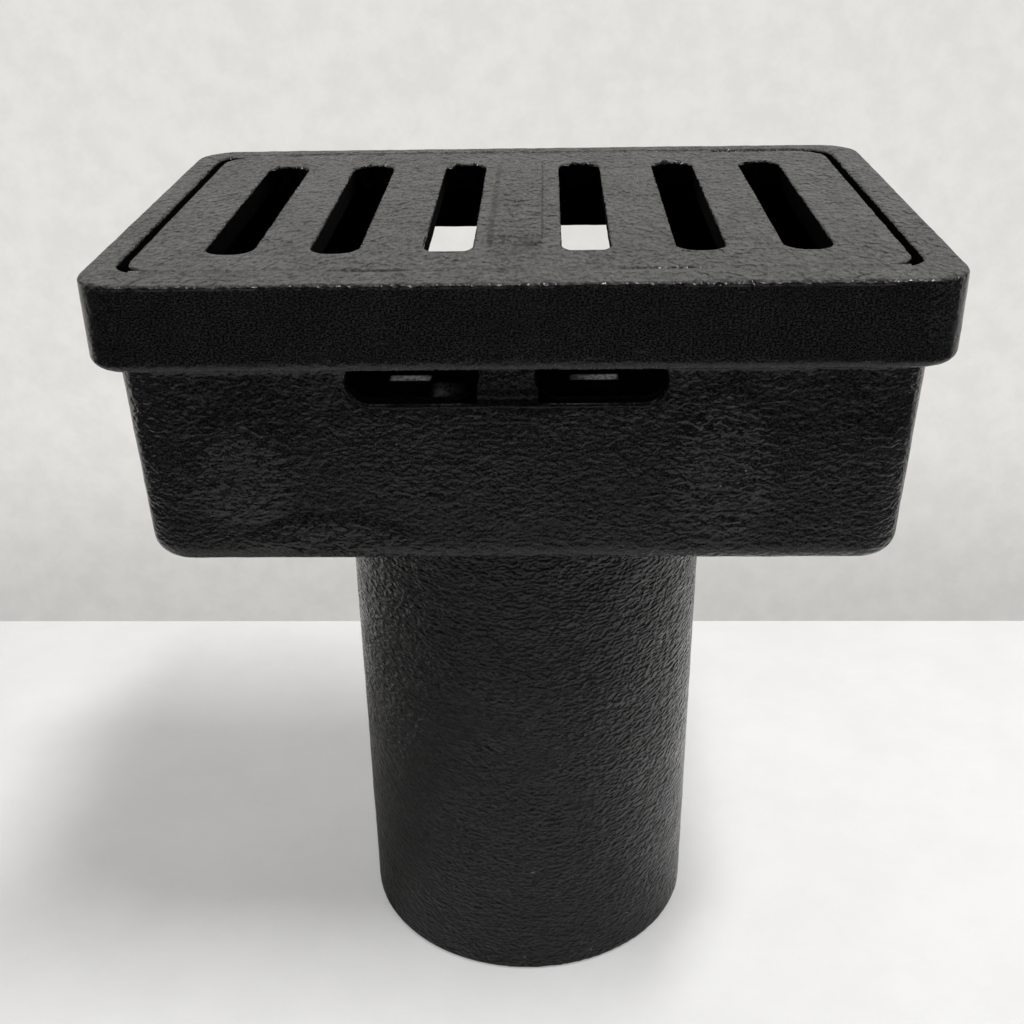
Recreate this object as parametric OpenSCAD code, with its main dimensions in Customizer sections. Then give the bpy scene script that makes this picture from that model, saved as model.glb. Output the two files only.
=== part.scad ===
// Deck drain: a cast-iron hopper with a round outlet pipe and a loose slotted grate.
// The origin is the centre of the pipe's lower end. +Z points up and X runs along the rim.

/* [Rim] */
// Length of the rim along X
rim_l = 300; // [285:1:360]
// Depth of the rim along Y
rim_d = 218; // [212:1:260]
// Height of the rim from its underside to its top face
rim_h = 31; // [26:0.5:45]
// Radius of the rim's upright corners
rim_r = 18; // [13:0.5:24]
// Rounding of the rim's top edge
rim_top_round = 1.5; // [1:0.25:4]
// Rounding of the rim's lower edge, where the sand mould parts
rim_low_round = 4; // [2:0.25:8]

/* [Grate pocket] */
// Width of the lip to the left of the grate
lip_left = 11; // [8:0.25:15]
// Width of the lip to the right of the grate
lip_right = 13; // [8:0.25:15]
// Width of the lip in front of the grate
lip_front = 16.5; // [8:0.25:20]
// Width of the lip behind the grate
lip_back = 11; // [8:0.25:15]
// Radius of the pocket's corners
pocket_r = 12; // [8:0.5:16]
// Rounding of the lip's inner edge
lip_round = 1; // [0.5:0.25:2]
// How far the seat under the grate stands in from the hopper's wall
seat_in = 5; // [3:0.5:8]
// Radius of the corners of the opening inside the seat
throat_r = 6; // [3:0.5:9]

/* [Hopper] */
// How far the rim stands out past the hopper
rim_overhang = 7.5; // [4:0.25:12]
// Height of the hopper below the rim
hopper_h = 78; // [60:1:110]
// How far each outer wall draws in from the rim to the floor
hopper_draw = 2.5; // [1:0.25:4]
// Radius of the hopper's upright outer corners at the rim
hopper_r = 19; // [15:0.5:24]
// Radius of the hopper's upright inner corners at the rim
chamber_r = 14; // [12:0.5:18]
// Rounding of the hopper's lower outer edge
hopper_low_round = 8; // [3:0.5:10]
// Thickness of the hopper's walls
hopper_wall = 10; // [8:0.5:12]
// Thickness of the hopper's floor
floor_t = 10; // [8:0.5:14]
// Rounding inside the hopper, between its walls and its floor
floor_round = 8; // [3:0.5:8]

/* [Outlet pipe] */
// Outer diameter of the outlet pipe
pipe_od = 153; // [120:1:156]
// Wall thickness of the outlet pipe
pipe_wall = 8; // [6:0.5:12]
// Length of the outlet pipe below the hopper
pipe_len = 226; // [80:1:300]
// Fillet between the pipe and the underside of the hopper
pipe_fillet = 8; // [3:0.5:10]
// Rounding of the pipe's lower outer edge
pipe_end_round = 2; // [0.5:0.25:3]
// Rounding of the bore's mouth in the hopper's floor
bore_mouth_round = 5; // [2:0.5:7]

/* [Weep slots] */
// Width of each pair of weep slots, over both slots and the web between them
weep_l = 111.5; // [90:0.5:130]
// Height of the weep slots below the rim
weep_h = 14.5; // [11:0.5:16]
// Radius of the ends of the weep slots
weep_r = 8.5; // [6:0.25:9]
// Width of the web between the two slots of a pair
weep_web = 20; // [12:0.5:30]
// How far the web is set back behind the hopper's outer face
weep_set_back = 6; // [2:0.5:7]
// Sideways place of the weep slots' middle
weep_x = -4.5; // [-10:0.5:10]

/* [Grate] */
// Thickness of the grate's plate, which is also the depth of its pocket
grate_t = 11; // [9:0.5:14]
// Gap between the grate and the lip on the left and on the right
gap_side = 3; // [1:0.25:5]
// Gap between the grate and the front lip
gap_front = 1; // [0.5:0.25:4]
// Gap between the grate and the back lip
gap_back = 2.5; // [0.5:0.25:4]
// Radius of the grate's corners
grate_r = 14; // [8:0.5:18]
// Rounding of the grate's top and lower edges
grate_round = 1; // [0.5:0.25:2]

/* [Grate slots] */
// Length of each slot at the top face
slot_l = 144; // [100:1:150]
// Width of each slot at the top face
slot_w = 17; // [14:0.5:19]
// How much further out each slot's wall lies at the underside, so that grit falls through
slot_flare = 1.2; // [0.5:0.1:2]
// Rounding of each slot's upper edge
slot_round = 1; // [0.5:0.25:1.5]
// Distance between the two middle slots
slot_middle_pitch = 49.2; // [44:0.1:54]
// Distance from a middle slot to the next one outwards
slot_inner_pitch = 40.4; // [36:0.1:44]
// Distance from that slot to the outermost one
slot_outer_pitch = 37.7; // [34:0.1:38]

/* [Grate pad] */
// Width of the plain raised pad between the two middle slots
pad_w = 17; // [10:0.5:22]
// Length of the pad
pad_l = 133; // [80:1:140]
// Height of the pad above the grate
pad_h = 1.2; // [0.6:0.1:2]
// Run of the slope along the pad's left side
pad_slope_left = 3; // [0.5:0.25:4]
// Run of the slope along the pad's right side
pad_slope_right = 0.8; // [0.5:0.1:3]

/* [Hidden] */
$fn = 96;

// Overrun of a cutting shape past the face that it opens
cut = 1;

hopper_z = pipe_len;
rim_z = hopper_z + hopper_h;
top_z = rim_z + rim_h;
seat_z = top_z - grate_t;

hopper_l = rim_l - 2 * rim_overhang;
hopper_d = rim_d - 2 * rim_overhang;

chamber_z = hopper_z + floor_t;
chamber_h = rim_z - chamber_z;
chamber_l = hopper_l - 2 * hopper_wall;
chamber_d = hopper_d - 2 * hopper_wall;

throat_l = chamber_l - 2 * seat_in;
throat_d = chamber_d - 2 * seat_in;

pipe_r = pipe_od / 2;
bore_r = pipe_r - pipe_wall;

pocket_l = rim_l - lip_left - lip_right;
pocket_d = rim_d - lip_front - lip_back;
pocket_x = (lip_left - lip_right) / 2;
pocket_y = (lip_front - lip_back) / 2;

grate_l = pocket_l - 2 * gap_side;
grate_d = pocket_d - gap_front - gap_back;
grate_x = pocket_x;
grate_y = pocket_y + (gap_front - gap_back) / 2;

slot_half_x = [
    slot_middle_pitch / 2,
    slot_middle_pitch / 2 + slot_inner_pitch,
    slot_middle_pitch / 2 + slot_inner_pitch + slot_outer_pitch,
];

weep_hole_l = (weep_l - weep_web) / 2;
weep_z = rim_z - weep_h;

// Waste between a round edge and the sharp edge that it replaces. The sharp edge is at
// the origin, and its two faces run to -X and to +Y.
module edge_waste(radius) {
    difference() {
        translate([-radius, 0])
            square(radius);
        translate([-radius, radius])
            circle(radius);
    }
}

// Right half of the cross-section of a block that is width wide at its top. Each side
// draws in by draw on its way down to the rounding of the lower edge.
module half_section(width, height, draw, low_round, top_round) {
    low_half = width / 2 - draw;
    foot = low_round > 0 ? [[low_half, 0], [low_half, low_round]] : [[low_half, 0]];
    difference() {
        polygon(concat([[0, 0]], foot, [[width / 2, height], [0, height]]));
        if (low_round > 0)
            translate([low_half, 0])
                edge_waste(low_round);
        if (top_round > 0)
            translate([width / 2, height])
                mirror([0, 1])
                    edge_waste(top_round);
    }
}

// Whole cross-section of the same block
module block_section(width, height, draw, low_round, top_round) {
    for (side = [0, 1])
        mirror([side, 0])
            half_section(width, height, draw, low_round, top_round);
}

// Block with upright rounded corners, drawn-in sides and rounded edges. Length, depth
// and radius hold at its top.
module cast_block(length, depth, height, radius, draw = 0, low_round = 0, top_round = 0) {
    run_x = length - 2 * radius;
    run_y = depth - 2 * radius;
    translate([-run_x / 2, 0, 0])
        rotate([90, 0, 90])
            linear_extrude(run_x)
                block_section(depth, height, draw, low_round, top_round);
    translate([0, run_y / 2, 0])
        rotate([90, 0, 0])
            linear_extrude(run_y)
                block_section(length, height, draw, low_round, top_round);
    for (x = [-run_x / 2, run_x / 2], y = [-run_y / 2, run_y / 2])
        translate([x, y, 0])
            rotate_extrude()
                half_section(2 * radius, height, draw, low_round, top_round);
}

// Sweeps a section round an opening with round corners, level with the opening's wall.
// The section's x counts outwards from that wall.
module sweep_round(length, depth, radius) {
    run_x = length - 2 * radius;
    run_y = depth - 2 * radius;
    for (side = [0, 1]) {
        if (run_y > 0)
            mirror([side, 0, 0])
                translate([length / 2, run_y / 2, 0])
                    rotate([90, 0, 0])
                        linear_extrude(run_y)
                            children();
        if (run_x > 0)
            mirror([0, side, 0])
                translate([-run_x / 2, depth / 2, 0])
                    rotate([90, 0, 90])
                        linear_extrude(run_x)
                            children();
        for (end = [0, 1])
            mirror([side, 0, 0])
                mirror([0, end, 0])
                    translate([run_x / 2, run_y / 2, 0])
                        rotate_extrude(angle = 90)
                            translate([radius, 0])
                                children();
    }
}

// Section of an inside fillet that fills the corner at the origin, towards +X and -Y
module fillet_section(radius) {
    difference() {
        translate([0, -radius])
            square(radius);
        translate([radius, -radius])
            circle(radius);
    }
}

// Outlet pipe, solid, with its lower edge rounded and a fillet up to the hopper
module outlet_pipe() {
    difference() {
        cylinder(r = pipe_r, h = hopper_z + floor_t / 2);
        rotate_extrude()
            translate([pipe_r, 0])
                edge_waste(pipe_end_round);
    }
    rotate_extrude()
        translate([pipe_r, hopper_z])
            fillet_section(pipe_fillet);
}

// Bore through the pipe with a rounded mouth in the hopper's floor
module outlet_bore() {
    translate([0, 0, -cut])
        cylinder(r = bore_r, h = chamber_z + 2 * cut);
    rotate_extrude()
        translate([bore_r, chamber_z])
            fillet_section(bore_mouth_round);
}

// Outline of a slot that is rounded at its lower corners, with its foot at y = 0
module weep_outline(length) {
    intersection() {
        union() {
            for (x = [weep_r - length / 2, length / 2 - weep_r])
                translate([x, weep_r])
                    circle(weep_r);
            translate([weep_r - length / 2, 0])
                square([length - 2 * weep_r, 2 * weep_r]);
        }
        translate([-length / 2, 0])
            square([length, weep_h]);
    }
}

// Pair of weep slots through the front wall, with the recess in front of their web
module weep_slots() {
    translate([weep_x, 0, weep_z])
        rotate([90, 0, 0]) {
            translate([0, 0, hopper_d / 2 - weep_set_back])
                linear_extrude(weep_set_back + cut)
                    weep_outline(weep_l);
            for (side = [-1, 1])
                translate([side * (weep_web + weep_hole_l) / 2, 0, chamber_d / 2 - hopper_wall])
                    linear_extrude(2 * hopper_wall + cut)
                        weep_outline(weep_hole_l);
        }
}

// One casting: rim, grate pocket, hopper and outlet pipe
module body_casting() {
    color([0.13, 0.13, 0.14])
        difference() {
            union() {
                translate([0, 0, rim_z])
                    cast_block(rim_l, rim_d, rim_h, rim_r,
                        low_round = rim_low_round, top_round = rim_top_round);
                translate([0, 0, hopper_z])
                    cast_block(hopper_l, hopper_d, hopper_h, hopper_r,
                        draw = hopper_draw, low_round = hopper_low_round);
                outlet_pipe();
            }
            translate([pocket_x, pocket_y, 0]) {
                translate([0, 0, seat_z])
                    cast_block(pocket_l, pocket_d, grate_t + cut, pocket_r);
                translate([0, 0, top_z])
                    sweep_round(pocket_l, pocket_d, pocket_r)
                        fillet_section(lip_round);
            }
            translate([0, 0, rim_z - cut])
                cast_block(throat_l, throat_d, seat_z - rim_z + 2 * cut, throat_r);
            translate([0, 0, chamber_z])
                cast_block(chamber_l, chamber_d, chamber_h, chamber_r,
                    draw = hopper_draw, low_round = floor_round);
            outlet_bore();
            for (face = [0, 1])
                mirror([0, face, 0])
                    weep_slots();
        }
}

// Slot with round ends that widens towards the underside of the grate
module grate_slot() {
    height = grate_t + 2 * cut;
    flare = slot_flare * height / grate_t;
    top_r = slot_w / 2 - slot_flare * cut / grate_t;
    run = slot_l - slot_w;
    translate([0, 0, grate_t])
        sweep_round(slot_w, slot_l, slot_w / 2)
            fillet_section(slot_round);
    translate([0, 0, -cut]) {
        for (y = [-run / 2, run / 2])
            translate([0, y, 0])
                cylinder(r1 = top_r + flare, r2 = top_r, h = height);
        translate([0, run / 2, 0])
            rotate([90, 0, 0])
                linear_extrude(run)
                    block_section(2 * top_r, height, -flare, 0, 0);
    }
}

// Plain raised pad with a sloping flank on each side
module grate_pad() {
    translate([0, pad_l / 2, 0])
        rotate([90, 0, 0])
            linear_extrude(pad_l)
                polygon([
                    [-pad_w / 2 - pad_slope_left, 0],
                    [-pad_w / 2 - pad_slope_left, -grate_t / 2],
                    [pad_w / 2 + pad_slope_right, -grate_t / 2],
                    [pad_w / 2 + pad_slope_right, 0],
                    [pad_w / 2, pad_h],
                    [-pad_w / 2, pad_h],
                ]);
}

// Loose grate that lies in the pocket, flush with the rim
module grate() {
    color([0.17, 0.17, 0.18])
        translate([grate_x, grate_y, seat_z]) {
            difference() {
                cast_block(grate_l, grate_d, grate_t, grate_r,
                    low_round = grate_round, top_round = grate_round);
                for (side = [-1, 1], x = slot_half_x)
                    translate([side * x, 0, 0])
                        grate_slot();
            }
            translate([0, (slot_l - pad_l) / 2, grate_t])
                grate_pad();
        }
}

body_casting();
grate();
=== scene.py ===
# %% [markdown]
# # A deck drain in painted cast iron
# The real drain is two iron castings: a body with a rim, a hopper and a pipe, and a loose
# slotted grate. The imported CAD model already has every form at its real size. This lesson
# gives it the look of rough iron under thick black paint, in a plain pale studio.

import math

import bpy
import numpy as np
from mathutils import Matrix, Vector, noise


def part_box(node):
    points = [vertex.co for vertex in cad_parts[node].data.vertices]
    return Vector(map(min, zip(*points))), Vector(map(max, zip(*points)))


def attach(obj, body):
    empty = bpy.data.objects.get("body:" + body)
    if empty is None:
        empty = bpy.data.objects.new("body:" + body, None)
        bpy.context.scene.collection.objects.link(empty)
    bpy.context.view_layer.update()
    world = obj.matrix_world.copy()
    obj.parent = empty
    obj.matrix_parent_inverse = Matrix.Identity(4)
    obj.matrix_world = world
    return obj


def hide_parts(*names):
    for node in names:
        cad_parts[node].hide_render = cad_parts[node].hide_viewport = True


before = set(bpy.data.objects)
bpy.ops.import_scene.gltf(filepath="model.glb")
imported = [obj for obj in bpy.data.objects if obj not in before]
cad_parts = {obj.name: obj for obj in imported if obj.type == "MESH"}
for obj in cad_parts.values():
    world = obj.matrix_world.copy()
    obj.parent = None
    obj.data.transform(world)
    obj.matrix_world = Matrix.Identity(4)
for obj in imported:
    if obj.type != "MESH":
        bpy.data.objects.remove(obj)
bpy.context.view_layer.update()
print("nodes:", sorted(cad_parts))

# %% [markdown]
# ## Camera
# A camera could be placed by eye, but edges then never quite meet those of the photograph.
# This one was fitted to the outlines of the rim, the hopper and the pipe. It stands in
# front of the drain and looks down at about 30 degrees. Its direction comes from three
# angles: yaw turns it sideways, pitch tips it down and roll leans it. A small lens shift
# places the drain in the frame.

# %% Camera
MM = 0.001
CAMERA_PLACE = Vector((9.114, -543.336, 462.757)) * MM
YAW = math.radians(-2.231)
PITCH = math.radians(29.505)
ROLL = math.radians(-1.151)
SENSOR_WIDTH = 36
FRAME_PIXELS = 1024
FOCAL_PIXELS = 1357.465
SHIFT_PIXELS = (12, 88)


def camera_matrix(place, yaw, pitch, roll):
    """World matrix of a camera at place that looks along +Y before it is turned."""
    ahead = Vector((math.sin(yaw) * math.cos(pitch), math.cos(yaw) * math.cos(pitch), -math.sin(pitch)))
    level = Vector((math.cos(yaw), -math.sin(yaw), 0))
    above = level.cross(ahead)
    right = math.cos(roll) * level + math.sin(roll) * above
    up = right.cross(ahead)
    turn = Matrix((right, up, -ahead)).transposed()
    return Matrix.Translation(place) @ turn.to_4x4()


camera = bpy.data.objects.new("camera", bpy.data.cameras.new("camera"))
bpy.context.scene.collection.objects.link(camera)
camera.matrix_world = camera_matrix(CAMERA_PLACE, YAW, PITCH, ROLL)
camera.data.sensor_width = SENSOR_WIDTH
camera.data.lens = SENSOR_WIDTH * FOCAL_PIXELS / FRAME_PIXELS
camera.data.shift_x = SHIFT_PIXELS[0] / FRAME_PIXELS
camera.data.shift_y = SHIFT_PIXELS[1] / FRAME_PIXELS
camera.data.clip_start = 10 * MM
bpy.context.scene.camera = camera
bpy.context.scene.view_settings.view_transform = "Standard"
print("camera lens:", round(camera.data.lens, 2), "mm")

# %% [markdown]
# ## Nodes in a few words
# Materials could be drawn by hand in the shader editor. Written in code they can be read
# and repeated, and a few small helpers keep that code short: they add a node, do
# arithmetic, and blend two values by a mask.

# %% Helpers that add nodes


def fill(tree, socket, value):
    """Links a socket, or sets its value."""
    if isinstance(value, bpy.types.NodeSocket):
        tree.links.new(value, socket)
    else:
        socket.default_value = value


def add_node(tree, kind, settings=None, **inputs):
    """Adds a node, sets its own settings, and sets or links its inputs by name."""
    node = tree.nodes.new(kind)
    for name, value in (settings or {}).items():
        setattr(node, name, value)
    for name, value in inputs.items():
        fill(tree, node.inputs[name.replace("_", " ")], value)
    return node


def object_place(tree):
    """The place on the object, in metres."""
    return add_node(tree, "ShaderNodeTexCoord").outputs["Object"]


def noise_node(tree, place, scale, detail, rough):
    """Noise from 0 to 1."""
    kind = "ShaderNodeTexNoise"
    return add_node(tree, kind, Vector=place, Scale=scale, Detail=detail, Roughness=rough).outputs[0]


def new_material(name):
    """An empty material with its output node. A material of that name from model.glb is reused."""
    material = bpy.data.materials.get(name) or bpy.data.materials.new(name)
    material.use_nodes = True
    tree = material.node_tree
    tree.nodes.clear()
    return material, tree, tree.nodes.new("ShaderNodeOutputMaterial")


print("helpers that add nodes: fill, add_node, object_place, noise_node, new_material")

# %% Helpers for arithmetic


def maths(tree, operation, *values):
    """The result of a Math node on numbers or sockets."""
    node = add_node(tree, "ShaderNodeMath", {"operation": operation})
    for socket, value in zip(node.inputs, values):
        fill(tree, socket, value)
    return node.outputs[0]


def product(tree, first, *others):
    """The product of two or more values."""
    for other in others:
        first = maths(tree, "MULTIPLY", first, other)
    return first


def opposite(tree, mask):
    """One where the mask is nought, and nought where it is one."""
    return maths(tree, "SUBTRACT", 1.0, mask)


def vector_maths(tree, operation, *values):
    """The vector result of a Vector Math node on sockets or (x, y, z)."""
    node = add_node(tree, "ShaderNodeVectorMath", {"operation": operation})
    for socket, value in zip(node.inputs, values):
        fill(tree, socket, value)
    return node.outputs["Vector"]


def length(tree, vector):
    """The length of a vector."""
    node = add_node(tree, "ShaderNodeVectorMath", {"operation": "LENGTH"}, Vector=vector)
    return node.outputs["Value"]


print("helpers for arithmetic: maths, product, opposite, vector_maths, length")

# %% Helpers that blend


def remap(tree, value, low, high, new_low=0.0, new_high=1.0):
    """Value stretched from low..high to new_low..new_high, eased and held at the ends."""
    node = add_node(
        tree, "ShaderNodeMapRange", {"interpolation_type": "SMOOTHSTEP"},
        From_Min=low, From_Max=high, To_Min=new_low, To_Max=new_high, Value=value,
    )
    return node.outputs[0]


def mixed_colour(tree, mask, first, second, blend="MIX"):
    """Two colours, each a socket or a (red, green, blue), mixed by a mask."""
    node = add_node(tree, "ShaderNodeMix", {"data_type": "RGBA", "blend_type": blend})
    sockets = (node.inputs[0], node.inputs[6], node.inputs[7])
    for socket, value in zip(sockets, (mask, first, second)):
        fill(tree, socket, (*value, 1) if isinstance(value, tuple) else value)
    return node.outputs[2]


def mixed_shader(tree, mask, first, second):
    """Two shaders mixed by a mask."""
    node = add_node(tree, "ShaderNodeMixShader", Fac=mask)
    tree.links.new(first.outputs[0], node.inputs[1])
    tree.links.new(second.outputs[0], node.inputs[2])
    return node


print("helpers that blend: remap, mixed_colour, mixed_shader")

# %% [markdown]
# ## Table and wall
# The drain stands on a white table in front of a white wall. The wall matters more than
# any lamp: seen at a low angle the black top mirrors it, and that is why it looks grey. A
# curved backdrop would mirror without an edge, but the photograph shows where table and
# wall meet, so two flat sheets are made.

# %% Floor and wall
STAGE_REACH = 4.0
WALL_Y = 0.245


def flat_sheet(name, corners):
    """One flat face through four corners."""
    mesh = bpy.data.meshes.new(name)
    mesh.from_pydata(corners, [], [(0, 1, 2, 3)])
    sheet = bpy.data.objects.new(name, mesh)
    bpy.context.scene.collection.objects.link(sheet)
    return sheet


far = STAGE_REACH
floor = flat_sheet("floor", [(-far, -far, 0), (far, -far, 0), (far, far, 0), (-far, far, 0)])
wall = flat_sheet("wall", [(-far, WALL_Y, 0), (far, WALL_Y, 0), (far, WALL_Y, far), (-far, WALL_Y, far)])
print("floor and wall made, the wall at y =", WALL_Y)

# %% [markdown]
# ## White table
# Painted board is a soft white with faint clouds in it. A stronger lamp would make it
# white, but would light the drain as well. So the camera sees a floor that adds a little
# light of its own to part of the lamp's, and the drain's shadow stays. All other rays meet
# the bare paint. In a mirror it darkens beyond the table's edge, as a room does.

# %% Floor finish
BOARD_DULL = (0.85, 0.845, 0.84)
BOARD_BRIGHT = (0.89, 0.885, 0.88)
PAST_THE_TABLE = (0.05, 0.05, 0.05)
TABLE_EDGE = (0.35, 0.65)
FLOOR_LIT = 0.66
FLOOR_LIFT = 0.38

floor_paint, tree, output = new_material("white_table")
place = object_place(tree)
clouds = noise_node(tree, place, 14.0, 6.0, 0.7)
tint = mixed_colour(tree, remap(tree, clouds, 0.3, 0.7), BOARD_DULL, BOARD_BRIGHT)
past_edge = remap(tree, length(tree, place), *TABLE_EDGE)
mirrored = mixed_colour(tree, past_edge, tint, PAST_THE_TABLE)
rays = add_node(tree, "ShaderNodeLightPath").outputs
board = mixed_colour(tree, rays["Is Glossy Ray"], tint, mirrored)
bare = add_node(tree, "ShaderNodeBsdfDiffuse", Color=board)
part_lit = mixed_colour(tree, 1.0, tint, (FLOOR_LIT,) * 3, "MULTIPLY")
part_lit = add_node(tree, "ShaderNodeBsdfDiffuse", Color=part_lit)
own_light = add_node(tree, "ShaderNodeEmission", Color=tint, Strength=FLOOR_LIFT)
seen = tree.nodes.new("ShaderNodeAddShader")
tree.links.new(part_lit.outputs[0], seen.inputs[0])
tree.links.new(own_light.outputs[0], seen.inputs[1])
shown = mixed_shader(tree, rays["Is Camera Ray"], bare, seen)
tree.links.new(shown.outputs[0], output.inputs["Surface"])
floor.data.materials.append(floor_paint)
print("floor finish:", floor_paint.name)

# %% [markdown]
# ## White wall
# The wall is fine plaster, and painted shade makes its colour a little darker just above
# the table. It could be lit by lamps of its own, but they would spill on the drain, so the
# camera and mirrored rays see its plain colour instead. Mirrored rays find it dimmer above
# the rim: at full white there, the black top would look grey all over. The wall shows from
# the front alone, so that a camera behind it still sees the drain.

# %% Wall finish
# the low colour is painted shade near the table
PLASTER_SHADED_LOW = (0.57, 0.56, 0.54)
PLASTER_HIGH = (0.77, 0.755, 0.725)
PLASTER_DIM = (0.40, 0.39, 0.375)
PLASTER_SHADE_TOP = 0.16
DIM_HEIGHTS = (0.27, 0.33)
PLASTER_GRAIN = ((0.955,) * 3, (1.03,) * 3)

wall_paint, tree, output = new_material("white_wall")
place = object_place(tree)
plaster = noise_node(tree, place, 60.0, 5.0, 0.65)
height = add_node(tree, "ShaderNodeSeparateXYZ", Vector=place).outputs["Z"]
# painted shade: the wall's colour darkens towards the table
tone = mixed_colour(tree, remap(tree, height, 0.0, PLASTER_SHADE_TOP), PLASTER_SHADED_LOW, PLASTER_HIGH)
plaster = mixed_colour(tree, remap(tree, plaster, 0.3, 0.7), *PLASTER_GRAIN)
grainy = mixed_colour(tree, 1.0, tone, plaster, "MULTIPLY")
rays = add_node(tree, "ShaderNodeLightPath").outputs
dimmed = product(tree, rays["Is Glossy Ray"], remap(tree, height, *DIM_HEIGHTS))
seen = add_node(tree, "ShaderNodeEmission", Color=mixed_colour(tree, dimmed, grainy, PLASTER_DIM))
lit = add_node(tree, "ShaderNodeBsdfDiffuse", Color=tone)
looked_at = maths(tree, "MAXIMUM", rays["Is Camera Ray"], rays["Is Glossy Ray"])
front = mixed_shader(tree, looked_at, lit, seen)
from_behind = add_node(tree, "ShaderNodeNewGeometry").outputs["Backfacing"]
sided = mixed_shader(tree, from_behind, front, tree.nodes.new("ShaderNodeBsdfTransparent"))
tree.links.new(sided.outputs[0], output.inputs["Surface"])
wall.data.materials.append(wall_paint)
print("wall finish:", wall_paint.name, "faces the drain:", wall.data.polygons[0].normal.y < 0)

# %% [markdown]
# ## Light
# The shadow in the photograph is soft and falls to the left, so one large lamp hangs
# overhead, a little to the right. Several small lamps would leave several shadows. A lamp
# of pi squared times its distance squared, in watts, shows a white face as plain white,
# and this one is a little weaker.

# %% Lamp
LAMP_WAY = Vector((0.27, -0.15, 1.0)).normalized()
LAMP_FAR = 3.2
LAMP_WIDTH = 1.2
LAMP_DEPTH = 0.3
LAMP_LEVEL = 0.8

lamp_data = bpy.data.lights.new("softbox", "AREA")
lamp_data.shape = "RECTANGLE"
lamp_data.size = LAMP_WIDTH
lamp_data.size_y = LAMP_DEPTH
lamp_data.energy = LAMP_LEVEL * math.pi ** 2 * LAMP_FAR ** 2
lamp = bpy.data.objects.new("softbox", lamp_data)
lamp.location = LAMP_WAY * LAMP_FAR
lamp.rotation_euler = LAMP_WAY.to_track_quat("Z", "Y").to_euler()
bpy.context.scene.collection.objects.link(lamp)
print("lamp power:", round(lamp_data.energy, 1), "W")

# %% [markdown]
# ## Room
# A real room lights the drain a little from all sides and is mirrored in its paint: pale
# ceiling above, pale walls at both sides, darkness behind the camera. An image of a room
# could give that, but a few nodes can too, and they need no file. The camera sees pale
# paper where it looks past the stage.

# %% World
FILL = (0.1, 0.1, 0.1, 1)
PAPER = (0.76, 0.745, 0.715, 1)
CEILING = 0.75
DARK_ROOM = 0.05
SIDE_WALLS = 0.45

world = bpy.data.worlds.new("studio")
world.use_nodes = True
bpy.context.scene.world = world
tree = world.node_tree
tree.nodes.clear()
output = tree.nodes.new("ShaderNodeOutputWorld")
rays = add_node(tree, "ShaderNodeLightPath").outputs
way = add_node(tree, "ShaderNodeTexCoord").outputs["Generated"]
way = add_node(tree, "ShaderNodeSeparateXYZ", Vector=way).outputs
overhead = remap(tree, way["Z"], 0.15, 0.85, DARK_ROOM, CEILING)
beside = remap(tree, maths(tree, "ABSOLUTE", way["X"]), 0.3, 0.9, 0.0, SIDE_WALLS)
room = add_node(tree, "ShaderNodeCombineColor")
for channel in room.inputs:
    tree.links.new(maths(tree, "MAXIMUM", overhead, beside), channel)
fill_light = add_node(tree, "ShaderNodeBackground", Color=FILL)
mirrored = add_node(tree, "ShaderNodeBackground", Color=room.outputs[0])
paper = add_node(tree, "ShaderNodeBackground", Color=PAPER)
either = mixed_shader(tree, rays["Is Glossy Ray"], fill_light, mirrored)
shown = mixed_shader(tree, rays["Is Camera Ray"], either, paper)
tree.links.new(shown.outputs[0], output.inputs["Surface"])
print("world:", world.name)

# %% [markdown]
# ## Iron skin
# Sand-cast iron is never smooth. Its faces wave, its edges wander, and paint rounds off
# what the mould left sharp. A bump map alone would leave the outline ruler-straight, and
# the CAD mesh has too few faces to bend. So each casting gets a skin: its mesh is copied,
# rebuilt with small even faces, and moved inwards by noise. Moving inwards only keeps the
# size that the CAD model states.

# %% An even copy of a casting
WELD_GAP = 0.01 * MM


def take_shape(piece):
    """Gives the piece the mesh that its modifiers make, and removes them."""
    bpy.context.view_layer.update()
    made = bpy.data.meshes.new_from_object(piece.evaluated_get(bpy.context.evaluated_depsgraph_get()))
    piece.modifiers.clear()
    old = piece.data
    piece.data = made
    bpy.data.meshes.remove(old)


def even_copy(node, name, voxel):
    """A copy of a CAD node with even faces about one voxel wide, laid back on its surface."""
    piece = bpy.data.objects.new(name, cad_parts[node].data.copy())
    bpy.context.scene.collection.objects.link(piece)
    weld = piece.modifiers.new("weld", "WELD")
    weld.merge_threshold = WELD_GAP
    remesh = piece.modifiers.new("even", "REMESH")
    remesh.mode = "VOXEL"
    remesh.voxel_size = voxel
    wrap = piece.modifiers.new("lay_back", "SHRINKWRAP")
    wrap.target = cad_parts[node]
    wrap.wrap_method = "NEAREST_SURFACEPOINT"
    take_shape(piece)
    return piece


def thin_out(piece, triangles):
    """Drops triangles where the surface is plain, down to the number given."""
    piece.data.calc_loop_triangles()
    now = len(piece.data.loop_triangles)
    if now > triangles:
        cut = piece.modifiers.new("thin_out", "DECIMATE")
        cut.ratio = triangles / now
        take_shape(piece)
    return now


print("an even copy can be made and thinned out")

# %% Points as arrays


def read_points(mesh):
    """Places and normals of a mesh's points, as arrays, with the places in millimetres."""
    place = np.empty(len(mesh.vertices) * 3, np.float32)
    normal = np.empty(len(mesh.vertices) * 3, np.float32)
    mesh.vertices.foreach_get("co", place)
    mesh.vertex_normals.foreach_get("vector", normal)
    return place.reshape(-1, 3) / MM, normal.reshape(-1, 3)


def write_points(mesh, place):
    """Sets a mesh's points from an array in millimetres."""
    mesh.vertices.foreach_set("co", (place * MM).astype(np.float32).ravel())
    mesh.update()


print("points are read and written in millimetres")

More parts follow.
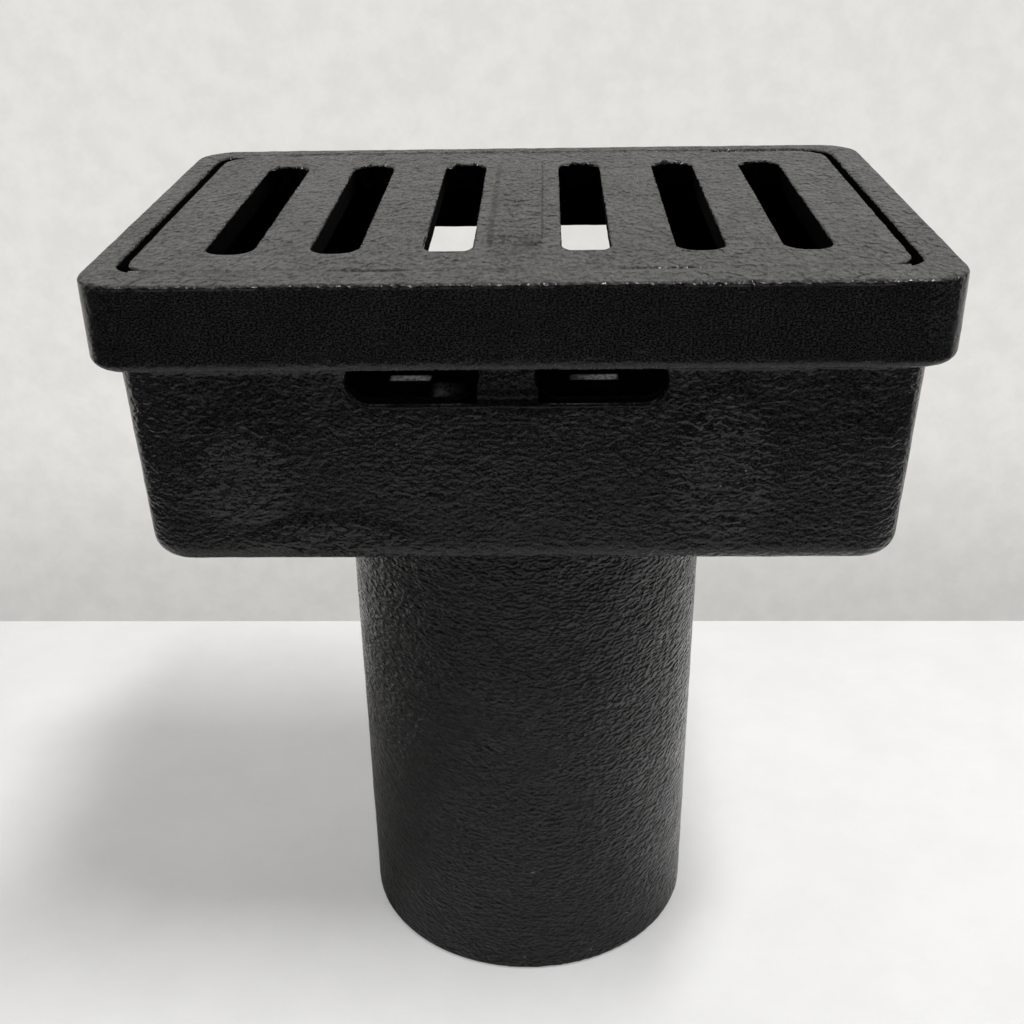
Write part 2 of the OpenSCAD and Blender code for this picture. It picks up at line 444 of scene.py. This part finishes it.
# %% Waves of the mould
MEAN_SINK = 0.16
MOULD_WAVES = (  # size in mm, depth in mm, start in the noise
    (17, 0.12, (0, 0, 0)),
    (6, 0.10, (31, 7, 3)),
    (2.6, 0.06, (5, 19, 41)),
)


def noise_at(place, size, start):
    """Noise from -1 to 1 at each place, in patches about size millimetres wide."""
    return np.array([noise.noise(Vector(p) / size + Vector(start)) for p in place.tolist()])


def rough_depth(place):
    """How far the mould and the paint leave each point below the ideal face, in mm."""
    depth = np.full(len(place), MEAN_SINK)
    for size, deep, start in MOULD_WAVES:
        depth = depth + deep * noise_at(place, size, start)
    return np.maximum(depth, 0.0)


def dent_depth(place, dents):
    """Depth of round dents, each given as a centre, a radius and a depth in mm."""
    depth = np.zeros(len(place))
    for centre, radius, deep in dents:
        reach = np.linalg.norm(place - np.array(centre), axis=1) / radius
        depth += deep * np.exp(-(reach ** 2))
    return depth


print("mould waves in mm:", [size for size, deep, start in MOULD_WAVES])

# %% [markdown]
# Two marks belong to the grate alone. Thick paint has gathered on the far end walls of the
# slots and dried ragged, and the front end of the raised pad is worn down to a ramp. A bump
# would show neither against the black of the slots, so both are made in the mesh.

# %% Paint and wear on the grate
TOP = 335.0
SLOT_END_Y = (62, 82)
SLOT_ENDS_X = 120
FACES_FRONT = -0.4
LUMP_SIZE = 2.3
LUMP_DEPTH = 3.5
THIN_PAINT = 0.2
THICKEST_LUMP = 1.6
PAD_FRONT_Y = -60.5
PAD_RAMP = 9.0
PAD_HALF_WIDTH = 16


def ragged_ends(place, normal):
    """Paint left standing on the far end walls of the slots, in mm."""
    lumps = noise_at(place, LUMP_SIZE, (3, 23, 11))
    lumps = np.minimum(LUMP_DEPTH * np.maximum(lumps, 0.0), THICKEST_LUMP)
    there = (place[:, 1] > SLOT_END_Y[0]) & (place[:, 1] < SLOT_END_Y[1])
    there &= (normal[:, 1] < FACES_FRONT) & (np.abs(place[:, 0]) < SLOT_ENDS_X)
    return np.where(there, THIN_PAINT + lumps, 0.0)


def ease_pad(place):
    """Heights with the front end of the raised pad worn down to nothing."""
    left = np.clip((place[:, 1] - PAD_FRONT_Y) / PAD_RAMP, 0.0, 1.0)
    raised = (place[:, 2] > TOP + 0.02) & (np.abs(place[:, 0]) < PAD_HALF_WIDTH)
    return np.where(raised, TOP + (place[:, 2] - TOP) * left, place[:, 2])


print("slot ends keep up to", THIN_PAINT + THICKEST_LUMP, "mm of paint")

# %% [markdown]
# The skin maker puts these steps in order: copy, sink, thin out, and hold the result inside
# the CAD box. The foot of the pipe stays flat, because the drain stands on it.

# %% Skin maker
FLAT_FOOT = 0.3


def make_skin(node, name, voxel, triangles, dents):
    """The finished skin of one casting."""
    piece = even_copy(node, name, voxel)
    place, normal = read_points(piece.data)
    depth = rough_depth(place) + dent_depth(place, dents)
    depth[place[:, 2] < FLAT_FOOT] = 0
    if node == "grate":
        depth -= ragged_ends(place, normal)
        place[:, 2] = ease_pad(place)
    write_points(piece.data, place - normal * depth[:, None])
    before = thin_out(piece, triangles)
    place, normal = read_points(piece.data)
    low, high = (np.array(corner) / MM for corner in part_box(node))
    write_points(piece.data, np.clip(place, low, high))
    piece.data.shade_smooth()
    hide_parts(node)
    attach(piece, "root")
    print(name, "triangles:", before, "->", len(piece.data.polygons))
    print(name, "sunk by at most", round(float(depth.max()), 2), "mm")
    return piece


print("skin maker ready")

# %% [markdown]
# The body is large and plain, so it can do with wider faces than the grate, whose slots
# have round ends. Each casting also has a few dents and nicks, given one by one.

# %% Skins of the two castings
MOST_TRIANGLES = 190_000
CASTING_VOXEL = 1.4 * MM
GRATE_VOXEL = 0.75 * MM
CASTING_DENTS = [
    ((-105.4, -101, 267.3), 9.0, 0.5),
    ((-89.5, -100, 245.4), 2.5, 0.5),
    ((96, -101, 298), 3.0, 0.4),
    ((-101, -101, 258), 3.5, 0.4),
    ((59.7, -109, 322), 3.0, 0.25),
    ((-45, -109, 312), 2.5, 0.25),
]
GRATE_DENTS = [
    ((-62, 87, 335), 2.2, 0.4),
    ((53, -30, 335), 2.2, 0.5),
    ((80, 57, 335), 2.0, 0.4),
    ((-2, 0, 336), 1.8, 0.5),
    ((-6, 10, 336), 1.6, 0.4),
    ((4, -22, 336), 1.8, 0.4),
    ((-33, 74, 335), 2.4, 0.5),
    ((31, 75, 335), 2.0, 0.5),
    ((-98, 76, 335), 2.2, 0.5),
    ((92, 73, 335), 2.2, 0.5),
]
casting = make_skin("body_casting", "drain_casting", CASTING_VOXEL, MOST_TRIANGLES, CASTING_DENTS)
grate = make_skin("grate", "drain_grate", GRATE_VOXEL, MOST_TRIANGLES, GRATE_DENTS)

# %% [markdown]
# ## Paint in the joint
# The drain was painted with its grate in place, so paint has bridged the narrow joint along
# the front and most of the one along the back. Only a few short slits stay open. Filling
# the joint in the CAD model would weld the two castings together. So each bridge is a strip
# of its own, which lies between the grate and the lip, as uneven as the iron beside it.

# %% Shape of a strip of paint
STRIP_STEP = 1.0
STRIP_COLUMNS = 11
STRIP_SINK = 0.05
STRIP_THICK = 2.0
STRIP_TAPER = 0.4
SLIT_DEPTH = 1.1
SLIT_END = 3.0
SLIT_REACH = 1.4
SLIT_SOFT = 0.5


def strip_points(x_range, y_range, slits):
    """Points of a strip in mm, top face first, with its numbers of rows and columns."""
    stations = np.arange(x_range[0], x_range[1] + STRIP_STEP / 2, STRIP_STEP)
    across = np.linspace(y_range[0], y_range[1], STRIP_COLUMNS)
    grid_x, grid_y = np.meshgrid(stations, across, indexing="ij")
    x, y = grid_x.ravel(), grid_y.ravel()
    top = TOP - STRIP_SINK - rough_depth(np.column_stack((x, y, np.full(len(x), TOP))))
    off_middle = np.abs(y - (y_range[0] + y_range[1]) / 2)
    for low, high in slits:
        ends = np.clip(np.minimum(x - low, high - x) / SLIT_END, 0.0, 1.0)
        top -= SLIT_DEPTH * ends * np.clip(SLIT_REACH - off_middle / SLIT_SOFT, 0.0, 1.0)
    low_y = np.clip(y, y_range[0] + STRIP_TAPER, y_range[1] - STRIP_TAPER)
    below = np.column_stack((x, low_y, np.full(len(x), TOP - STRIP_THICK)))
    return np.vstack((np.column_stack((x, y, top)), below)), grid_x.shape


def strip_faces(rows, columns):
    """Faces of a closed strip whose lower points follow its upper ones."""
    count = rows * columns
    faces = []
    for row in range(rows - 1):
        for column in range(columns - 1):
            first = row * columns + column
            quad = (first, first + columns, first + columns + 1, first + 1)
            faces += [quad, tuple(point + count for point in reversed(quad))]
    edge = [row * columns for row in range(rows)]
    edge += [(rows - 1) * columns + column for column in range(1, columns)]
    edge += [row * columns + columns - 1 for row in range(rows - 2, -1, -1)]
    edge += list(range(columns - 2, 0, -1))
    for first, second in zip(edge, edge[1:] + edge[:1]):
        faces.append((second, first, first + count, second + count))
    return faces


print("a strip is", STRIP_THICK, "mm thick and has", STRIP_COLUMNS, "points across")

# %% Paint bridges
FRONT_JOINT = (-94.2, -89.8)
BACK_JOINT = (94.2, 99.4)


def paint_bridge(name, x_range, y_range, slits):
    """A strip of paint along X that closes a joint, with open slits given as (from, to) in X."""
    points, (rows, columns) = strip_points(x_range, y_range, slits)
    mesh = bpy.data.meshes.new(name)
    mesh.from_pydata([tuple(p) for p in points * MM], [], strip_faces(rows, columns))
    mesh.shade_smooth()
    piece = bpy.data.objects.new(name, mesh)
    bpy.context.scene.collection.objects.link(piece)
    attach(piece, "root")
    print(name, "faces:", len(mesh.polygons))
    return piece


front_bridge = paint_bridge("paint_bridge_front", (-133, 131), FRONT_JOINT, [(-65, -35), (33, 63)])
back_bridge = paint_bridge("paint_bridge_back", (-134.5, 85), BACK_JOINT, [(-112, -100)])

# %% [markdown]
# ## Grain under the paint
# Iron takes the print of the sand it was cast in, and thick bitumen paint follows every
# dent of it. The skin carries the larger waves. Grain of a millimetre or two would take
# millions of faces, so it is a bump. Both castings share it, so it is one node group with
# named inputs. The group works out a height, turns it into a normal, and says where dust
# and painted top light lie.

# %% Group maker


def make_group(name, inputs, outputs):
    """An empty node group with float inputs (name: default) and outputs (name: kind)."""
    group = bpy.data.node_groups.new(name, "ShaderNodeTree")
    for label, value in inputs.items():
        socket = group.interface.new_socket(label, in_out="INPUT", socket_type="NodeSocketFloat")
        socket.default_value = value
    for label, kind in outputs.items():
        group.interface.new_socket(label, in_out="OUTPUT", socket_type="NodeSocket" + kind)
    given, result = group.nodes.new("NodeGroupInput"), group.nodes.new("NodeGroupOutput")
    return group, given.outputs, result.inputs


print("group maker ready")

# %% Grain group
GRAIN_INPUTS = {
    "Dimple size": 2.4,
    "Dimple depth": 1.3,
    "Wrinkle size": 2.2,
    "Wrinkle depth": 0.9,
    "Pit depth": 0.8,
    "Ridge depth": 0.2,
    "Spot depth": 2.6,
    "Hopper share": 0.15,
    "Rim share": 0.07,
    "Top share": 0.35,
}
GRAIN_OUTPUTS = {
    "Normal": "Vector",
    "Dust": "Float",
    "Dust film": "Float",
    "Mottle": "Float",
    "Speck": "Float",
    "Matt": "Float",
}
grain, given, result = make_group("painted_cast_iron", GRAIN_INPUTS, GRAIN_OUTPUTS)
print("group:", grain.name, "with", len(GRAIN_INPUTS), "inputs")

# %% [markdown]
# Grain is not the same in all directions: on the sides its dimples are wider than they are
# tall, and on the top they are longest from front to back. Stretching the coordinates
# gives that. Bending them by a slow noise keeps the cells from looking like a honeycomb.

# %% Places in the grain
STRETCH = (1.0, 0.62, 1.5)
BEND_SIZE = 8.0
BEND_REACH = (4, 4, 4)


def scaled(vector, size, shift=0.0):
    """A place in millimetres, divided by size and shifted."""
    over = maths(grain, "DIVIDE", 1.0, size)
    smaller = add_node(grain, "ShaderNodeVectorMath", {"operation": "SCALE"}, Vector=vector, Scale=over)
    return vector_maths(grain, "ADD", smaller.outputs[0], (shift,) * 3)


def patches(vector, size, detail=2.0, shift=0.0, rough=0.55):
    """Noise from 0 to 1 whose patches are about size millimetres wide."""
    return noise_node(grain, scaled(vector, size, shift), 1.0, detail, rough)


in_mm = vector_maths(grain, "MULTIPLY", object_place(grain), [part / MM for part in STRETCH])
bend = add_node(grain, "ShaderNodeTexNoise", Vector=scaled(in_mm, BEND_SIZE), Scale=1.0, Detail=1.0)
bent = vector_maths(grain, "MULTIPLY_ADD", bend.outputs["Color"], BEND_REACH, in_mm)
print("grain stretched by", STRETCH)

# %% [markdown]
# The sides of the rim are the smoothest part of the casting, the pipe the roughest, and
# its grain fades towards the foot. Each region has its own mask, made from the height on
# the drain, and turns the grain down to its own share.

# %% How strong the grain is
RIM_UNDER = 304.0
HOPPER_UNDER = 226.0
PIPE_FADE = (40.0, 180.0)

level = add_node(grain, "ShaderNodeSeparateXYZ", Vector=in_mm).outputs["Z"]


def by_height(low, high, at_low=0.0, at_high=1.0):
    """A value that goes from at_low to at_high between two heights in millimetres."""
    return remap(grain, level, low * STRETCH[2], high * STRETCH[2], at_low, at_high)


def share(base, mask, amount):
    """base, turned down to base x amount where the mask is one."""
    kept = product(grain, base, opposite(grain, mask))
    return maths(grain, "ADD", kept, product(grain, base, amount, mask))


above_pipe = by_height(HOPPER_UNDER - 4, HOPPER_UNDER + 4)
hopper_side = product(grain, above_pipe, by_height(RIM_UNDER - 2, RIM_UNDER + 2, 1.0, 0.0))
rim_side = product(grain, by_height(RIM_UNDER - 2, RIM_UNDER + 2), by_height(TOP - 2, TOP, 1.0, 0.0))
top_side = by_height(TOP - 2, TOP)
strong = remap(grain, patches(in_mm, 26.0, shift=5.0), 0.35, 0.65, 0.65, 1.15)
strong = product(grain, strong, by_height(*PIPE_FADE, 0.8, 1.5))
strong = share(strong, hopper_side, given["Hopper share"])
strong = share(strong, rim_side, given["Rim share"])
strong = share(strong, top_side, given["Top share"])
print("grain turned down on", ["hopper", "rim", "top"])

# %% [markdown]
# The grain itself is dimples from the sand, wrinkles of the paint, faint slanting ridges on
# the hopper, and a few deep pits. A single noise could stand for all of them, but each has
# a size and a shape of its own.

# %% Dimples, wrinkles, ridges and pits
RIDGE_SLANT = 0.55
RIDGE_STRETCH = (0.22, 0.5, 1.0)
PIT_SIZE = 3.4

cells = add_node(grain, "ShaderNodeTexVoronoi", Vector=scaled(bent, given["Dimple size"]), Scale=1.0)
dimples = product(grain, cells.outputs["Distance"], given["Dimple depth"])
wrinkles = patches(bent, given["Wrinkle size"], detail=3.0, rough=0.6)
wrinkles = product(grain, wrinkles, given["Wrinkle depth"])
turn = {"rotation_type": "Y_AXIS"}
slanted = add_node(grain, "ShaderNodeVectorRotate", turn, Vector=bent, Angle=RIDGE_SLANT)
slanted = vector_maths(grain, "MULTIPLY", slanted.outputs[0], RIDGE_STRETCH)
ridges = remap(grain, patches(slanted, 2.2, shift=41.0), 0.3, 0.7, -1.0, 1.0)
ridges = opposite(grain, maths(grain, "ABSOLUTE", ridges))
ridges = product(grain, ridges, hopper_side, given["Ridge depth"])
pits = remap(grain, patches(bent, PIT_SIZE, detail=0.0, shift=21.0), 0.55, 0.75)
pits = product(grain, pits, strong, given["Pit depth"])
print("grain has dimples, wrinkles, ridges and pits")

# %% [markdown]
# In a few places the iron is rougher, as where sand has broken off the mould: beside the
# weep slots, twice on the left of the hopper, and on the raised pad. Each is an ellipsoid,
# which needs only a centre and a reach.

# %% Rough spots
ROUGH_SPOTS = [  # centre and reach in mm
    ((72, -101, 266), (24, 40, 38)),
    ((-100, -101, 264), (22, 40, 26)),
    ((-70, -99, 236), (36, 40, 13)),
    ((-1, 7, 336), (10, 72, 9)),
]


def stretched(vector):
    """A vector in mm, stretched as the grain's coordinates are."""
    return [part * by for part, by in zip(vector, STRETCH)]


spot = 0.0
for centre, reach in ROUGH_SPOTS:
    off = vector_maths(grain, "SUBTRACT", in_mm, stretched(centre))
    off = length(grain, vector_maths(grain, "DIVIDE", off, stretched(reach)))
    spot = maths(grain, "MAXIMUM", spot, remap(grain, off, 0.4, 1.0, 1.0, 0.0))
lumps = product(grain, patches(bent, 3.4, detail=1.0, shift=3.0), spot, given["Spot depth"])
print("rough spots:", len(ROUGH_SPOTS))

# %% Height and normal
fine = maths(grain, "ADD", maths(grain, "ADD", dimples, wrinkles), ridges)
raised = maths(grain, "ADD", product(grain, fine, strong), lumps)
height = maths(grain, "SUBTRACT", raised, pits)
bump = add_node(grain, "ShaderNodeBump", Strength=1.0, Distance=MM, Height=height)
grain.links.new(bump.outputs[0], result["Normal"])
print("a height of one is", round(bump.inputs["Distance"].default_value / MM, 3), "mm")

# %% [markdown]
# Pale dust settles where the bumpy surface faces up, so the group measures the normal that
# the bump made. That is truer than painting dust by height alone. The same mask is partly
# painted light: it lightens the tops and the up-facing flanks of the grain as overhead light
# would. A thinner film of dust clings to the sides too, less on the pipe. The other outputs
# vary the gloss and set off single specks.

# %% Dust and mottle
DUST_STRETCH = (1.0, 0.6, 1.0)
facing = add_node(grain, "ShaderNodeSeparateXYZ", Vector=bump.outputs[0]).outputs["Z"]
# dust and painted top light: up-facing flanks of the grain are made lighter
settled_and_lit = maths(grain, "POWER", maths(grain, "MAXIMUM", facing, 0.0), 4.0)
along = vector_maths(grain, "MULTIPLY", in_mm, DUST_STRETCH)
flecks = remap(grain, patches(along, 1.4, shift=71.0, rough=0.7), 0.35, 0.65, 0.45, 1.55)
spread = remap(grain, patches(in_mm, 9.0, detail=1.0, shift=13.0), 0.3, 0.7, 0.75, 1.0)
grain.links.new(product(grain, settled_and_lit, spread, flecks), result["Dust"])
film = remap(grain, patches(in_mm, 0.9, shift=53.0, rough=0.6), 0.4, 0.7)
film = product(grain, film, by_height(HOPPER_UNDER - 4, HOPPER_UNDER + 6, 0.3, 1.0))
uneven = remap(grain, patches(in_mm, 14.0, shift=61.0), 0.3, 0.7, 0.75, 1.0)
grain.links.new(product(grain, film, uneven), result["Dust film"])
grain.links.new(patches(in_mm, 22.0, detail=1.0, shift=17.0), result["Mottle"])
grain.links.new(patches(in_mm, 1.6, detail=3.0, shift=29.0), result["Speck"])
matt = maths(grain, "MULTIPLY_ADD", hopper_side, 0.06, product(grain, rim_side, 0.1))
grain.links.new(matt, result["Matt"])
print("group outputs linked:", [socket.name for socket in result if socket.is_linked])

# %% [markdown]
# ## Hollows and marks
# Inside the hopper, the pipe, the slots and the gap round the grate the iron is painted
# nearly black as painted shade, without pale dust. A few more places differ: two strips and
# a blob of painted light in the hopper, painted shade in creases beside the raised pad, and
# a painted highlight along the pad's right edge. Masks could be painted by hand, but a place
# that is a box in the CAD model is marked most exactly by two corners.

# %% Hollow group
hollow, given, result = make_group(
    "hollow_places", {}, {"Hollow": "Float", "Light patch": "Float", "Shaded crease": "Float", "Edge highlight": "Float"}
)
at = vector_maths(hollow, "MULTIPLY", object_place(hollow), (1 / MM,) * 3)
at = add_node(hollow, "ShaderNodeSeparateXYZ", Vector=at).outputs


def between(value, low, high, soft):
    """One inside low..high, nought outside, with soft ends."""
    rise = remap(hollow, value, low, low + soft)
    fall = remap(hollow, value, high - soft, high, 1.0, 0.0)
    return product(hollow, rise, fall)


def box_mask(low, high, soft=0.8):
    """One inside a box given in millimetres."""
    return product(hollow, *(between(at[axis], low[i], high[i], soft) for i, axis in enumerate("XYZ")))


def widest(masks):
    """The highest of several masks."""
    total = masks[0]
    for mask in masks[1:]:
        total = maths(hollow, "MAXIMUM", total, mask)
    return total


print("group:", hollow.name)

# %% Where the hollows get painted shade
BORE_EDGE = (69.5, 71.0)
BORE_HEIGHTS = (2.0, 232.0)

across = [maths(hollow, "POWER", at[axis], 2.0) for axis in "XY"]
across = maths(hollow, "SQRT", maths(hollow, "ADD", *across))
bore = product(hollow, remap(hollow, across, *BORE_EDGE, 1.0, 0.0), between(at["Z"], *BORE_HEIGHTS, 1.0))
# painted shade: these places are made nearly black and mirror almost nothing
shaded_places = {
    "hopper": box_mask((-135, -93, 231), (135, 93, 304)),
    "left weep slots": box_mask((-61, -98.6, 288), (-14.5, 98.6, 304)),
    "right weep slots": box_mask((6, -98.6, 288), (52, 98.6, 304)),
    "pocket and slots": box_mask((-140, -93.5, 303), (138, 99, 334.4)),
    "bore": bore,
}
hollow.links.new(widest(list(shaded_places.values())), result["Hollow"])
print("bare iron in:", list(shaded_places))

# %% Painted light patches, painted shade in creases, and a painted edge highlight
# painted light: two strips and a blob in the hopper where light through the grate falls
light_patches = [
    box_mask((-66, 68.5, 233), (-45, 77.5, 240), 2.0),
    box_mask((19.5, 68.5, 233), (44, 77.5, 240), 2.0),
    box_mask((-45, 46, 226), (-28, 69, 238), 5.0),
]
# painted shade: the pad's left slope, which faces away from the lamp, its front end, and a short dark dash
shaded_creases = [
    product(hollow, box_mask((-12.6, -61, 334), (-9.6, 72, 337)), 0.9),
    box_mask((-3.5, -62.8, 334), (6.5, -60.0, 337), 0.6),
    product(hollow, box_mask((-6, -1.2, 334), (3, 1.4, 337)), 0.7),
]
hollow.links.new(widest(light_patches), result["Light patch"])
hollow.links.new(widest(shaded_creases), result["Shaded crease"])
# painted highlight along the pad's right edge, which faces the lamp
hollow.links.new(box_mask((7.9, -61, 335.1), (9.8, 72, 337), 0.3), result["Edge highlight"])
print("scraps of silt:", len(light_patches), "creases:", len(shaded_creases))

# %% [markdown]
# ## Black paint
# Bitumen paint is nearly black, weakly mirroring and a little glossy. A dark metal would
# mirror too much and a plain matt black would look like felt, so the paint is a dielectric
# with a low specular level, and its grey comes from dust with painted top light and from
# the mirrored wall. The hollows are painted shade: a nearly black metal, which mirrors
# almost nothing.

# %% Paint on the two castings
BLACK = (0.0035, 0.0035, 0.0038)
# pale dust, which also stands in for overhead light on faces that look up
DUST_AND_TOP_LIGHT = (0.074, 0.074, 0.073)
HOLLOW_SHADE_BLACK = (0.0015, 0.0015, 0.0015)
CHIP = (0.12, 0.12, 0.118)
LIGHT_PATCH_TONE = (0.15, 0.15, 0.145)
PAINT_ROUGH = 0.13
ROUGH_SWAY = 0.04
HOLLOW_SHADE_ROUGH = 0.9
FILM_SHARE = 0.33
EDGE_HIGHLIGHT_GAIN = 1.6
SPECULAR = 0.25


def paint_tone(tree, skin, places, black, dust_and_top_light):
    """The colour of the paint, and a mask of the painted light patches."""
    inside = places["Hollow"]
    # dust and painted top light, kept out of the hollows and the shaded creases
    settled_and_lit = product(tree, skin["Dust"], opposite(tree, inside), opposite(tree, places["Shaded crease"]))
    dusted_and_lit = maths(tree, "MAXIMUM", settled_and_lit, product(tree, skin["Dust film"], FILM_SHARE))
    tone = mixed_colour(tree, dusted_and_lit, black, dust_and_top_light)
    # painted highlight: the pad's right edge is made paler
    tone = mixed_colour(tree, places["Edge highlight"], tone, tuple(EDGE_HIGHLIGHT_GAIN * part for part in dust_and_top_light))
    # painted shade in the hollows
    tone = mixed_colour(tree, inside, tone, HOLLOW_SHADE_BLACK)
    chips = product(tree, remap(tree, skin["Speck"], 0.64, 0.74), settled_and_lit, 0.5)
    tone = mixed_colour(tree, chips, tone, CHIP)
    # painted light patches, pale and not metallic
    light_patch = product(tree, places["Light patch"], remap(tree, skin["Speck"], 0.3, 0.6, 0.3, 1.0))
    return mixed_colour(tree, light_patch, tone, LIGHT_PATCH_TONE), light_patch


def black_paint(name, black, dust_and_top_light, rough, **amounts):
    """Black paint over cast iron. The amounts go to the grain group's inputs."""
    material, tree, output = new_material(name)
    skin = add_node(tree, "ShaderNodeGroup", {"node_tree": grain}, **amounts).outputs
    places = add_node(tree, "ShaderNodeGroup", {"node_tree": hollow}).outputs
    tone, light_patch = paint_tone(tree, skin, places, black, dust_and_top_light)
    roughness = remap(tree, skin["Mottle"], 0.3, 0.7, rough - ROUGH_SWAY, rough + ROUGH_SWAY)
    roughness = maths(tree, "ADD", skin["Matt"], roughness)
    # the shaded hollows are also made rough
    roughness = maths(tree, "MAXIMUM", roughness, product(tree, places["Hollow"], HOLLOW_SHADE_ROUGH))
    paint = add_node(
        tree, "ShaderNodeBsdfPrincipled", Base_Color=tone, Normal=skin["Normal"], Roughness=roughness,
        Metallic=product(tree, places["Hollow"], opposite(tree, light_patch)), Specular_IOR_Level=SPECULAR,
    )
    tree.links.new(paint.outputs[0], output.inputs["Surface"])
    return material


casting_paint = black_paint("painted_casting", BLACK, DUST_AND_TOP_LIGHT, PAINT_ROUGH, Hopper_share=0.15, Rim_share=0.07)
grate_paint = black_paint("painted_grate", BLACK, DUST_AND_TOP_LIGHT, PAINT_ROUGH, Top_share=0.35)
painted = [(casting, casting_paint), (grate, grate_paint)]
painted += [(bridge, grate_paint) for bridge in (front_bridge, back_bridge)]
for piece, paint in painted:
    piece.data.materials.clear()
    piece.data.materials.append(paint)
    print(piece.name, "painted with", paint.name)
